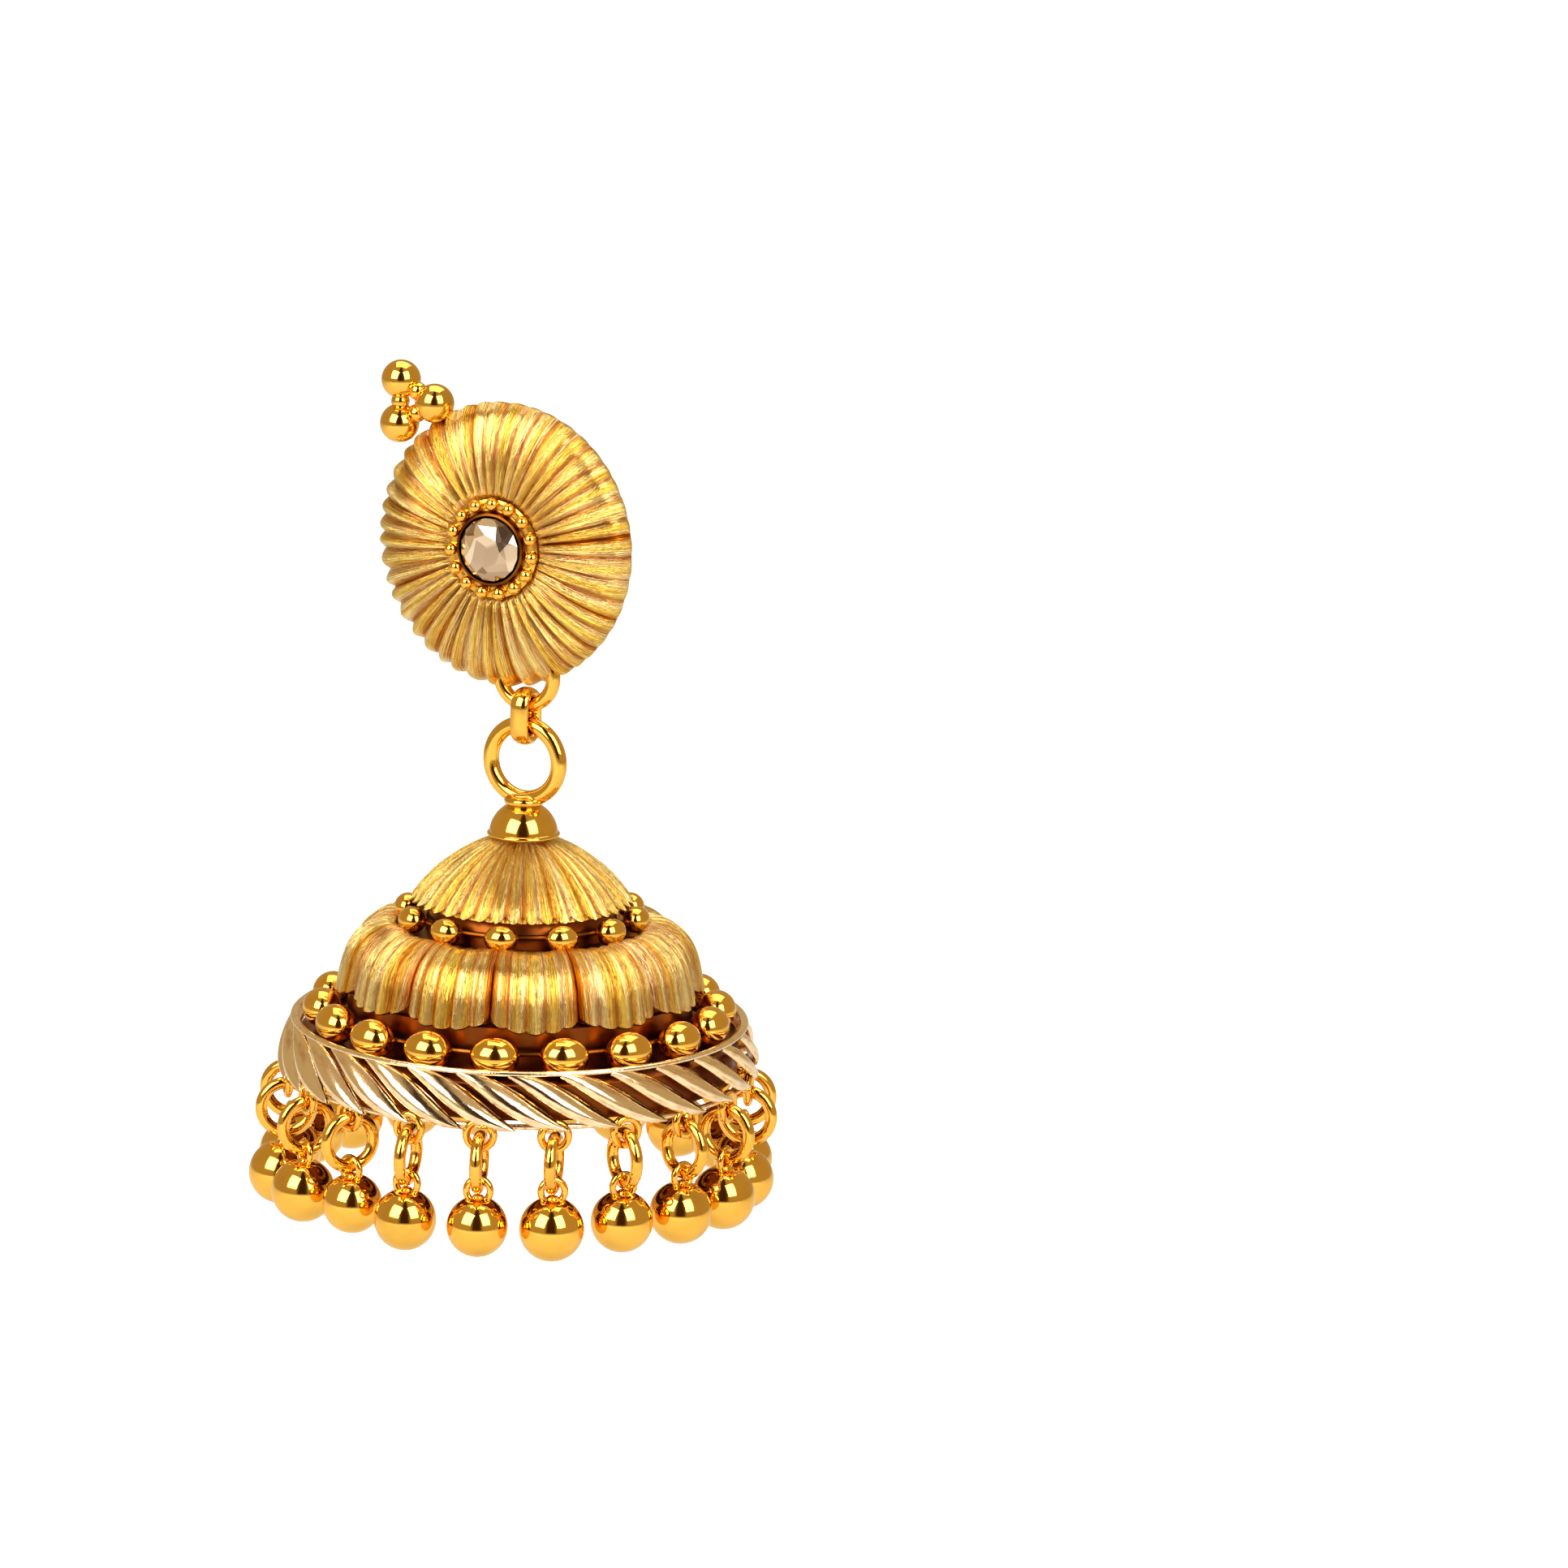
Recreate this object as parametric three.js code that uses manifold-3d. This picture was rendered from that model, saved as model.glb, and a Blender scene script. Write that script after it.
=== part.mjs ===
// A bell-shaped drop earring: a fluted stud with a set stone, an oval link, and a two-tier bell
// with two rows of beads, a pierced leaf band and a fringe of ball drops on jump rings.
// Millimetres, Z up. The stud faces -Y, its flat back lies on Y = 0, and the post leaves it along +Y.
import * as THREE from "three";
import { ConvexGeometry } from "three/addons/geometries/ConvexGeometry.js";
import { mergeVertices } from "three/addons/utils/BufferGeometryUtils.js";
import Module from "manifold-3d";

const wasm = await Module();
wasm.setup();

// Stud
const ROSETTE_WIDTH = 15.4;
const ROSETTE_HEIGHT = 15.8;
const ROSETTE_PETALS = 44;
const PETAL_GROOVE = 0.45; // depth of the valley between two petals
const RIM_SCALLOP = 0.28; // how far a valley cuts into the rim
const SETTING_RECESS = 2.65; // radius of the hollow that takes the setting
const RECESS_FLOOR = 0.7; // its floor, above the stud's back
const RECESS_DEPTH = 1.3;
const SETTING_BEADS = 15;
const SETTING_BEAD_RADIUS = 0.38;
const SETTING_BEAD_CIRCLE = 2.5;
const STONE_RADIUS = 1.76;
const GRANULE_RADIUS = 1.09;
const SOLDER_RADIUS = 0.5;
const POST_RADIUS = 0.45;
const POST_LENGTH = 11;
const POST_PAD_RADIUS = 2.2;
const POST_PAD_DEPTH = 0.4;

// Hanging rings, from the stud down
const HANG_X = 1.5; // the loop sits a little to one side of the stone
const HANG_Y = -0.6; // the plane in which the rings hang
const STUD_LOOP_Z = -7.2;
const STUD_LOOP_RADIUS = 1.65;
const STUD_LOOP_WIRE = 0.4;
const LINK_END_RADIUS = 0.825;
const LINK_WIRE_THICK = 0.225; // half the link wire's thickness in the link's own plane
const LINK_WIRE_WIDE = 0.5; // half its width across that plane
const BELL_RING_RADIUS = 2.1;
const BELL_RING_WIRE = 0.45;
const LINK_GAP = 0.1; // between the link and the stud's loop
const RING_GAP = 0.24; // between that loop and the bell's ring, which rocks below it
const SADDLE_GAP = 0.2; // between the bell's ring and the link it rocks on

// Bell, measured down from the foot of its cap
const CAP_Z = -16.2;
const CAP_RADIUS = 1.93;
const STEM_RADIUS = 0.45;
const STEM_HOLE = 0.6;
const UPPER_FLUTES = 40;
const LOBES = 12;
const RIBS_PER_LOBE = 3;
const LOBE_TURN = THREE.MathUtils.degToRad(17); // from the front to a notch between two lobes
const UPPER_BEADS = { count: 12, radius: 0.75, circle: 6.45, drop: 4.47 };
const LOWER_BEADS = { count: 18, radius: 1.1, circle: 11, drop: 9.95 };

// Leaf band and fringe
const LEAVES = 28;
const LEAF_GAP_LENGTH = 2.5;
const LEAF_GAP_WIDTH = 0.85;
const LEAF_SLANT = THREE.MathUtils.degToRad(-30);
const BAND_FOOT = 13.5; // the band's lower edge, down from the cap's foot
const DROPS = 20;
const EYELET_CIRCLE = 12.96;
const EYELET_RADIUS = 0.75;
const EYELET_WIRE = 0.22;
const EYELET_SINK = 0.32; // the eyelet's centre, below the band's lower edge
const JUMP_RING_RADIUS = 1.4;
const JUMP_RING_WIRE = 0.34;
const BALL_RADIUS = 1.72;
const BALL_EYE_RADIUS = 0.68;
const BALL_EYE_WIRE = 0.21;
const FRINGE_GAP = 0.08;

// Sections of the turned shapes. groove scales the flutes at that row.
const ROSETTE_ROWS = [
  { radius: 0, rise: 0.1, groove: 0 },
  { radius: 0.35, rise: 0.1, groove: 0 },
  { radius: 0.37, rise: 0, groove: 0 },
  { radius: 0.97, rise: 0, groove: 0 },
  { radius: 1, rise: 0.8, groove: 0.8 },
  { radius: 0.92, rise: 1.55, groove: 1 },
  { radius: 0.76, rise: 2.15, groove: 1 },
  { radius: 0.55, rise: 2.35, groove: 0.8 },
  { radius: 0.4, rise: 1.75, groove: 0.4 },
  { radius: 0, rise: 1.75, groove: 0 },
];
const SETTING_ROWS = [
  { radius: 0, rise: 0.8 },
  { radius: 2.4, rise: 0.8 },
  { radius: 2.4, rise: 1.85 },
  { radius: 2.9, rise: 1.9 },
  { radius: 2.9, rise: 2.1 },
  { radius: 2.1, rise: 2.15 },
  { radius: 2.02, rise: 2.5 },
  { radius: 1.88, rise: 2.5 },
  { radius: 1.88, rise: 2.2 },
  { radius: 0.55, rise: 1.1 },
  { radius: 0, rise: 1.1 },
];
const STONE_ROWS = [
  { radius: 0.92, rise: 3.05, corners: 8, turn: 0 },
  { radius: 1.45, rise: 2.8, corners: 8, turn: 0.5 },
  { radius: STONE_RADIUS, rise: 2.5, corners: 16, turn: 0.5 },
  { radius: STONE_RADIUS, rise: 2.36, corners: 16, turn: 0.5 },
  { radius: 1, rise: 1.75, corners: 8, turn: 0 },
  { radius: 0, rise: 1.3, corners: 1, turn: 0 },
];
const UPPER_TIER_ROWS = [
  { radius: 0, drop: 0.1, groove: 0 },
  { radius: 1.75, drop: 0.1, groove: 0 },
  { radius: 3.2, drop: 0.85, groove: 0.12 },
  { radius: 4.6, drop: 1.85, groove: 0.22 },
  { radius: 5.55, drop: 2.8, groove: 0.3 },
  { radius: 6.2, drop: 3.6, groove: 0.32 },
  { radius: 0, drop: 3.6, groove: 0 },
];
const UPPER_HOLLOW_ROWS = [
  { radius: 0, drop: 0 },
  { radius: STEM_HOLE, drop: 0 },
  { radius: STEM_HOLE, drop: 0.8 },
  { radius: 4, drop: 2.2 },
  { radius: 5.4, drop: 3.7 },
  { radius: 0, drop: 3.7 },
];
const LOWER_TIER_ROWS = [
  { radius: 0, drop: 3.75, groove: 0, lobe: 0 },
  { radius: 5.2, drop: 3.75, groove: 0, lobe: 0 },
  { radius: 5.35, drop: 5.35, groove: 0, lobe: 0 },
  { radius: 6.9, drop: 5.35, groove: 0, lobe: 0.15 },
  { radius: 7.5, drop: 4.87, groove: 0.06, lobe: 0.3 },
  { radius: 8.3, drop: 5, groove: 0.12, lobe: 0.5 },
  { radius: 9.3, drop: 5.77, groove: 0.16, lobe: 0.6 },
  { radius: 9.9, drop: 6.95, groove: 0.18, lobe: 0.55 },
  { radius: 10.3, drop: 8.75, groove: 0.18, lobe: 0.4 },
  { radius: 0, drop: 8.75, groove: 0, lobe: 0 },
];
const LEDGE_ROWS = [
  { radius: 0, drop: 8.5 },
  { radius: 9.6, drop: 8.5 },
  { radius: 9.6, drop: 11.15 },
  { radius: 12.2, drop: 11.15 },
  { radius: 12.2, drop: 13.2 },
  { radius: 11.85, drop: 13.2 },
  { radius: 11.85, drop: 11.55 },
  { radius: 0, drop: 11.55 },
];
const LOWER_HOLLOW_ROWS = [
  { radius: 0, drop: 3.65 },
  { radius: STEM_HOLE, drop: 3.65 },
  { radius: STEM_HOLE, drop: 4.35 },
  { radius: 4.6, drop: 4.35 },
  { radius: 4.8, drop: 5.75 },
  { radius: 7.5, drop: 5.95 },
  { radius: 8.6, drop: 6.9 },
  { radius: 9.1, drop: 8.65 },
  { radius: 9.1, drop: 11.8 },
  { radius: 0, drop: 11.8 },
];
const BAND_ROWS = [
  { radius: 12.3, drop: 10.3 },
  { radius: 12.65, drop: 10.3 },
  { radius: 12.92, drop: 11.2 },
  { radius: 13, drop: 12.85 },
  { radius: 13.32, drop: BAND_FOOT - 0.3 },
  { radius: 13.32, drop: BAND_FOOT },
  { radius: 12.65, drop: BAND_FOOT },
  { radius: 12.5, drop: 10.7 },
  { radius: 12.3, drop: 10.7 },
];
const GRANULES = [
  { x: -6.45, z: 8.65 },
  { x: -4.35, z: 7.5 },
  { x: -6.5, z: 6.2 },
];

// Heights that follow from the sizes above
const studWireZ = STUD_LOOP_Z - STUD_LOOP_RADIUS;
const bellWireZ = studWireZ - STUD_LOOP_WIRE - BELL_RING_WIRE - RING_GAP;
const linkTopZ = studWireZ + STUD_LOOP_WIRE + LINK_GAP + LINK_WIRE_THICK;
const linkFootZ = bellWireZ - BELL_RING_WIRE - SADDLE_GAP - LINK_WIRE_THICK;
const bandFootZ = CAP_Z - BAND_FOOT;
const eyeletZ = bandFootZ - EYELET_SINK;
const jumpRingTopZ = eyeletZ - EYELET_RADIUS + EYELET_WIRE + FRINGE_GAP + JUMP_RING_WIRE;
const jumpRingZ = jumpRingTopZ - JUMP_RING_RADIUS;
const jumpRingFootZ = jumpRingZ - JUMP_RING_RADIUS;
const ballEyeZ = jumpRingFootZ + JUMP_RING_WIRE + FRINGE_GAP + BALL_EYE_WIRE - BALL_EYE_RADIUS;
const ballZ = jumpRingFootZ - JUMP_RING_WIRE - 2 * FRINGE_GAP - BALL_RADIUS;

const WELD = 1e-4;
const HALF_TURN = Math.PI / 2;

// A closed geometry as a solid, with its seams welded, its flat slivers dropped and its faces outwards.
function solid(geometry) {
  const bare = geometry.clone();
  for (const name of Object.keys(bare.attributes)) {
    if (name !== "position") bare.deleteAttribute(name);
  }
  const welded = mergeVertices(bare, WELD);
  const corners = [];
  const index = welded.index.array;
  for (let i = 0; i < index.length; i += 3) {
    const [a, b, c] = [index[i], index[i + 1], index[i + 2]];
    if (a !== b && b !== c && a !== c) corners.push([a, b, c]);
  }
  const made = (faces) =>
    new wasm.Manifold(
      new wasm.Mesh({
        numProp: 3,
        vertProperties: welded.attributes.position.array,
        triVerts: new Uint32Array(faces.flat()),
      }),
    );
  const first = made(corners);
  return first.volume() > 0 ? first : made(corners.map(([a, b, c]) => [a, c, b]));
}

function fused(...solids) {
  return solids.reduce((all, next) => all.add(next));
}

function geometryOf(made) {
  const mesh = made.getMesh();
  const places = new Float32Array(mesh.numVert * 3);
  for (let i = 0; i < mesh.numVert; i += 1) {
    places.set(mesh.vertProperties.subarray(i * mesh.numProp, i * mesh.numProp + 3), i * 3);
  }
  const geometry = new THREE.BufferGeometry();
  geometry.setAttribute("position", new THREE.BufferAttribute(places, 3));
  geometry.setIndex(new THREE.BufferAttribute(mesh.triVerts, 1));
  geometry.computeVertexNormals();
  return geometry;
}

// A section turned round the Y axis. press(row, column) returns how far a point moves in radius and in height.
function turned(section, columns, press = () => [0, 0]) {
  const lathe = new THREE.LatheGeometry(
    section.map(([radius, height]) => new THREE.Vector2(radius, height)),
    columns,
  );
  const places = lathe.getAttribute("position");
  for (let i = 0; i < places.count; i += 1) {
    const row = i % section.length;
    const column = Math.floor(i / section.length) % columns;
    const [outwards, upwards] = press(row, column);
    const angle = (column / columns) * 2 * Math.PI;
    const radius = section[row][0] + (section[row][0] > 0 ? outwards : 0);
    places.setXYZ(i, radius * Math.sin(angle), section[row][1] + upwards, radius * Math.cos(angle));
  }
  return lathe;
}

// A turned part of the bell on the Z axis, whose rows are measured down from the cap's foot.
function bellTurned(rows, columns, press) {
  const section = rows.map(({ radius, drop }) => [radius, -drop]);
  return solid(turned(section, columns, press).rotateX(HALF_TURN));
}

function ring(radius, wire, sides, steps) {
  return new THREE.TorusGeometry(radius, wire, sides, steps);
}

function ball(radius, sides, stacks) {
  return new THREE.SphereGeometry(radius, sides, stacks);
}

// A short round bar from one point to another, which stands for the solder between them.
function bar(from, to, radius) {
  const length = from.distanceTo(to);
  const turn = new THREE.Quaternion().setFromUnitVectors(
    new THREE.Vector3(0, 1, 0),
    to.clone().sub(from).normalize(),
  );
  const middle = from.clone().add(to).multiplyScalar(0.5);
  return new THREE.CylinderGeometry(radius, radius, length, 6).applyQuaternion(turn).translate(...middle);
}

// Fluted oval dome with its soldered granules and hanging loop
function rosette() {
  const half = ROSETTE_WIDTH / 2;
  const press = (row, column) => {
    const { radius, groove } = ROSETTE_ROWS[row];
    const depth = (column % 2) * groove;
    const atRim = radius === 1 ? 1 : 0;
    return [-depth * RIM_SCALLOP * atRim, depth * PETAL_GROOVE * (1 - atRim)];
  };
  const dome = turned(
    ROSETTE_ROWS.map(({ radius, rise }) => [radius * half, -rise]),
    2 * ROSETTE_PETALS,
    press,
  ).scale(1, 1, ROSETTE_HEIGHT / ROSETTE_WIDTH);
  const recess = new THREE.CylinderGeometry(SETTING_RECESS, SETTING_RECESS, 2 * RECESS_DEPTH, 24);
  recess.translate(0, -RECESS_FLOOR - RECESS_DEPTH, 0);

  const granuleY = -0.95;
  const centres = GRANULES.map(({ x, z }) => new THREE.Vector3(x, granuleY, z));
  const granules = centres.map((at) => solid(ball(GRANULE_RADIUS, 10, 5).translate(...at)));
  const solder = solid(bar(centres[0], centres[2], SOLDER_RADIUS));
  const roots = centres.slice(1).map((at) => {
    const inside = at.clone().multiplyScalar(0.78).setY(granuleY);
    return solid(bar(at, inside, SOLDER_RADIUS));
  });

  const loop = ring(STUD_LOOP_RADIUS, STUD_LOOP_WIRE, 6, 14).rotateX(HALF_TURN);
  loop.translate(HANG_X, HANG_Y, STUD_LOOP_Z);
  return fused(solid(dome).subtract(solid(recess)), ...granules, solder, ...roots, solid(loop));
}

// Cup with a rim of small beads, which sits in the rosette's recess
function setting() {
  const cup = turned(
    SETTING_ROWS.map(({ radius, rise }) => [radius, -rise]),
    SETTING_BEADS,
  );
  const beadRise = 2.26;
  const beads = Array.from({ length: SETTING_BEADS }, (_, i) => {
    const angle = (i / SETTING_BEADS) * 2 * Math.PI;
    const [x, z] = [Math.sin(angle), Math.cos(angle)].map((part) => part * SETTING_BEAD_CIRCLE);
    return solid(ball(SETTING_BEAD_RADIUS, 6, 4).translate(x, -beadRise, z));
  });
  return fused(solid(cup), ...beads);
}

// Round cut stone: a table, a crown of kites and triangles, a thin girdle and a pointed pavilion
function stone() {
  const points = STONE_ROWS.flatMap(({ radius, rise, corners, turn }) =>
    Array.from({ length: corners }, (_, i) => {
      const angle = ((i + turn) / corners) * 2 * Math.PI;
      return new THREE.Vector3(radius * Math.sin(angle), -rise, radius * Math.cos(angle));
    }),
  );
  return solid(new ConvexGeometry(points));
}

// Plain post on a round pad, against the stud's back
function post() {
  const gap = 0.1;
  const section = [
    [0, gap],
    [POST_PAD_RADIUS, gap],
    [POST_PAD_RADIUS, gap + POST_PAD_DEPTH],
    [POST_RADIUS, gap + POST_PAD_DEPTH],
    [POST_RADIUS, POST_LENGTH - POST_RADIUS],
    [0, POST_LENGTH],
  ];
  return solid(turned(section, 12));
}

// Oval link: a torus drawn out upwards and downwards, with a wire wider than it is thick
function link() {
  const torus = ring(LINK_END_RADIUS, LINK_WIRE_THICK, 6, 12);
  const stretch = (linkTopZ - linkFootZ) / 2 - LINK_END_RADIUS;
  const places = torus.getAttribute("position");
  for (let i = 0; i < places.count; i += 1) {
    const y = places.getY(i);
    const end = Math.abs(y) < WELD ? 0 : Math.sign(y);
    places.setY(i, y + end * stretch);
  }
  torus.scale(1, 1, LINK_WIRE_WIDE / LINK_WIRE_THICK);
  return solid(torus.rotateX(HALF_TURN).rotateZ(HALF_TURN));
}

// Ring, collar, domed cap and the riveted stem that carries both tiers, all soldered together
function finial() {
  const bellRing = ring(BELL_RING_RADIUS, BELL_RING_WIRE, 6, 16).rotateX(HALF_TURN);
  bellRing.translate(0, 0, bellWireZ - BELL_RING_RADIUS - CAP_Z);
  const rivetTop = -4.5;
  const rivetFoot = -4.95;
  const section = [
    [0, 2.3],
    [0.8, 2.3],
    [1.1, 1.95],
    [0.95, 1.66],
    [1.36, 1.36],
    [1.75, 0.8],
    [CAP_RADIUS, 0.2],
    [CAP_RADIUS + 0.07, 0],
    [STEM_RADIUS, 0],
    [STEM_RADIUS, rivetTop],
    [1, rivetTop],
    [0.85, rivetFoot],
    [0, rivetFoot],
  ];
  return fused(solid(turned(section, 14).rotateX(HALF_TURN)), solid(bellRing));
}

function upperTier() {
  const press = (row, column) => [-(column % 2) * UPPER_TIER_ROWS[row].groove, 0];
  return bellTurned(UPPER_TIER_ROWS, 2 * UPPER_FLUTES, press).subtract(bellTurned(UPPER_HOLLOW_ROWS, 20));
}

// Lobed, ribbed dome; its neck and ledge carry the lower beads, and its skirt backs the band
function lowerTier() {
  const columnsPerLobe = 2 * RIBS_PER_LOBE;
  const press = (row, column) => {
    const { groove, lobe } = LOWER_TIER_ROWS[row];
    const place = column % columnsPerLobe;
    const bulge = Math.sin((place / columnsPerLobe) * Math.PI);
    const valley = place % 2 === 0 ? 1 : 0;
    return [-lobe * (1 - bulge) - groove * valley, 0];
  };
  const dome = bellTurned(LOWER_TIER_ROWS, LOBES * columnsPerLobe, press);
  const ledge = bellTurned(LEDGE_ROWS, LEAVES);
  return dome.add(ledge).subtract(bellTurned(LOWER_HOLLOW_ROWS, LEAVES));
}

// Beads on a wire ring: a torus whose tube swells at each bead as a sphere does
function beadRing({ count, radius, circle }) {
  const stations = [-0.95, -0.6, 0, 0.6, 0.95]; // along each bead, in bead radii
  const sides = 8;
  const string = ring(circle, radius, sides, count * stations.length);
  const places = string.getAttribute("position");
  const steps = count * stations.length;
  for (let i = 0; i < places.count; i += 1) {
    const step = (i % (steps + 1)) % steps;
    const side = (Math.floor(i / (steps + 1)) % sides) / sides;
    const along = stations[step % stations.length];
    const angle = (Math.floor(step / stations.length) / count) * 2 * Math.PI + (along * radius) / circle;
    const tube = radius * Math.sqrt(1 - along * along);
    const reach = circle + tube * Math.cos(side * 2 * Math.PI);
    places.setXYZ(i, reach * Math.cos(angle), reach * Math.sin(angle), tube * Math.sin(side * 2 * Math.PI));
  }
  return solid(string);
}

// Pointed oval that is cut between two leaves
function leafGap() {
  const [half, bulge] = [LEAF_GAP_LENGTH / 2, LEAF_GAP_WIDTH];
  const outline = new THREE.Shape();
  outline.moveTo(-half, 0);
  outline.quadraticCurveTo(0, bulge, half, 0);
  outline.quadraticCurveTo(0, -bulge, -half, 0);
  const depth = 2.4;
  const cutter = new THREE.ExtrudeGeometry(outline, { depth, bevelEnabled: false, curveSegments: 3 });
  return cutter.rotateZ(LEAF_SLANT).rotateX(HALF_TURN);
}

// Hooked over the ledge, pierced between its slanting leaves, with the fringe's eyelets on its foot
function leafBand() {
  const cutterBack = -(BAND_ROWS[2].radius - 1.4);
  const gapDrop = 12.02;
  let wall = bellTurned([...BAND_ROWS, BAND_ROWS[0]], LEAVES);
  for (let i = 0; i < LEAVES; i += 1) {
    const angle = ((i + 0.5) / LEAVES) * 2 * Math.PI;
    const cutter = leafGap().translate(0, cutterBack, -gapDrop).rotateZ(angle);
    wall = wall.subtract(solid(cutter));
  }
  const eyelets = Array.from({ length: DROPS }, (_, i) => {
    const angle = (i / DROPS) * 2 * Math.PI;
    const eyelet = ring(EYELET_RADIUS, EYELET_WIRE, 4, 6).rotateX(HALF_TURN);
    return solid(eyelet.translate(0, -EYELET_CIRCLE, eyeletZ - CAP_Z).rotateZ(angle));
  });
  return fused(wall, ...eyelets);
}

function jumpRing() {
  return solid(ring(JUMP_RING_RADIUS, JUMP_RING_WIRE, 5, 10).rotateX(HALF_TURN).rotateZ(HALF_TURN));
}

// Ball with a wire eye on top, across the jump ring
function ballDrop() {
  const eye = ring(BALL_EYE_RADIUS, BALL_EYE_WIRE, 4, 6).rotateX(HALF_TURN);
  eye.translate(0, 0, ballEyeZ - ballZ);
  return fused(solid(ball(BALL_RADIUS, 10, 5).rotateX(HALF_TURN)), solid(eye));
}

const metal = (color, roughness) =>
  new THREE.MeshStandardMaterial({ color, roughness, metalness: 1 });
const fluted = metal(0xd9ac4e, 0.42);
const polished = metal(0xe6b04a, 0.12);
const leafGold = metal(0xe3c08c, 0.18);
const crystal = new THREE.MeshStandardMaterial({ color: 0xc7a27a, roughness: 0.06, metalness: 0.1 });

const earring = new THREE.Group();

function add(parent, name, made, material) {
  const mesh = new THREE.Mesh(geometryOf(made), material);
  mesh.name = name;
  parent.add(mesh);
  return mesh;
}

function addStud() {
  const stud = new THREE.Group();
  add(stud, "stud_rosette", rosette(), fluted);
  add(stud, "stone_setting", setting(), polished);
  add(stud, "center_stone", stone(), crystal);
  add(stud, "ear_post", post(), polished);
  earring.add(stud);
}

function addLink() {
  const mesh = add(earring, "connector_link", link(), polished);
  mesh.position.set(HANG_X, HANG_Y, (linkTopZ + linkFootZ) / 2);
}

function addBell() {
  const bell = new THREE.Group();
  bell.position.set(HANG_X, HANG_Y, CAP_Z);
  add(bell, "bell_finial", finial(), polished);
  add(bell, "upper_tier", upperTier(), fluted);
  const upperBeads = add(bell, "upper_bead_ring", beadRing(UPPER_BEADS), polished);
  upperBeads.position.z = -UPPER_BEADS.drop;
  upperBeads.rotation.z = LOBE_TURN;
  add(bell, "lower_tier", lowerTier(), fluted).rotation.z = LOBE_TURN;
  add(bell, "lower_bead_ring", beadRing(LOWER_BEADS), polished).position.z = -LOWER_BEADS.drop;
  add(bell, "leaf_band", leafBand(), leafGold);
  earring.add(bell);
}

function addFringe() {
  const fringe = new THREE.Group();
  fringe.position.set(HANG_X, HANG_Y, 0);
  const ringMade = jumpRing();
  const ballMade = ballDrop();
  for (let i = 0; i < DROPS; i += 1) {
    const number = String(i + 1).padStart(2, "0");
    const place = new THREE.Group();
    place.rotation.z = (i / DROPS) * 2 * Math.PI;
    add(place, `jump_ring_${number}`, ringMade, polished).position.set(0, -EYELET_CIRCLE, jumpRingZ);
    add(place, `ball_drop_${number}`, ballMade, polished).position.set(0, -EYELET_CIRCLE, ballZ);
    fringe.add(place);
  }
  earring.add(fringe);
}

addStud();
addLink();
addBell();
addFringe();

export default earring;
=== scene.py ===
"""A gold bell earring: fluted stud with a set stone, oval link, two-tier bell and fringe of balls."""

import bmesh
import bpy
import numpy as np
from mathutils import Matrix, Vector


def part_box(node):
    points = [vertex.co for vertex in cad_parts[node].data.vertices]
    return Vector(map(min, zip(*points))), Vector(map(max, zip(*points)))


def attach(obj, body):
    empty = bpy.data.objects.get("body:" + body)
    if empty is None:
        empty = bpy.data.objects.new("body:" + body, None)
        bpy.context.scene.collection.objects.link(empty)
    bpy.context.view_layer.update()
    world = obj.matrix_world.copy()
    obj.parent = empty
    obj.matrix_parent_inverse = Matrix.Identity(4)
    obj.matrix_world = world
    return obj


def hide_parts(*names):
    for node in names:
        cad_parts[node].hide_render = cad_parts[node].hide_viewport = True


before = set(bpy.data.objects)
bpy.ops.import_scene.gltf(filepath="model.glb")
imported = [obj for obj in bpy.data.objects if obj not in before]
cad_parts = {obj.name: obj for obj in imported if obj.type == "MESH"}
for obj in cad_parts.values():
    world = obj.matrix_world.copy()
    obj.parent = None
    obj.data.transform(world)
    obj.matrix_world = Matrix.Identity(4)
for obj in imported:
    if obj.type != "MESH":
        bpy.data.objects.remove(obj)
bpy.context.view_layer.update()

MM = 0.001
TAU = 2 * np.pi
rng = np.random.default_rng(17)

# Places taken from the frame, in millimetres


def span(node):
    """Lowest and highest corner of a CAD node in millimetres."""
    low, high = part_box(node)
    return np.array(low) / MM, np.array(high) / MM


LINK_LOW, LINK_HIGH = span("connector_link")
BELL_AXIS = (LINK_LOW + LINK_HIGH)[:2] / 2
LINK_MID_Z = (LINK_LOW + LINK_HIGH)[2] / 2
FINIAL_TOP = span("bell_finial")[1][2]
FINIAL_RISE = 6.71  # from the cap's foot to the top of the ring
CAP_FOOT = FINIAL_TOP - FINIAL_RISE  # the bell's heights are measured down from here
BALL_FOOT = span("ball_drop_01")[0][2]

# Sizes in millimetres
WELD = 2e-4  # points closer than this become one
CREASE_ANGLE = np.radians(40)  # edges sharper than this stay crisp
STUD_WIDTH, STUD_HEIGHT = 15.4, 15.8
PETALS = 44
PETAL_DEPTH, RIM_SCALLOP = 0.5, 0.14
PETAL_UNEVEN, FLUTE_UNEVEN = 0.22, 0.12  # shift of the valleys, in pleats
VALLEY_RANGE = (0.75, 1.25)  # depth of a petal's valley, by the usual one
PLEAT_COLUMNS = 14
VALLEY_SHADE_POWER = 1.3  # how narrow the painted shade line in a valley is
SETTING_RECESS = 2.65  # radius of the hollow that takes the stone's cup
STUD_LOOP = {"z": -7.2, "radius": 1.65, "wire": 0.4}
GRANULES = {"radius": 1.09, "rise": 0.95, "places": [(-6.45, 8.65), (-4.35, 7.5), (-6.5, 6.2)]}
SOLDER_RADIUS = 0.52
SOLDER_RIM_SHARE = 0.87  # where the solder meets the rim, as a share of a granule's distance from the centre
SETTING_BEADS = {"count": 15, "radius": 0.38, "circle": 2.5, "rise": 2.26}
POST_RADIUS, POST_LENGTH, PAD_RADIUS = 0.45, 11.0, 2.2
LINK = {"radius": 0.825, "edge": 0.225, "wide": 0.54, "thick": 0.29}
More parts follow.
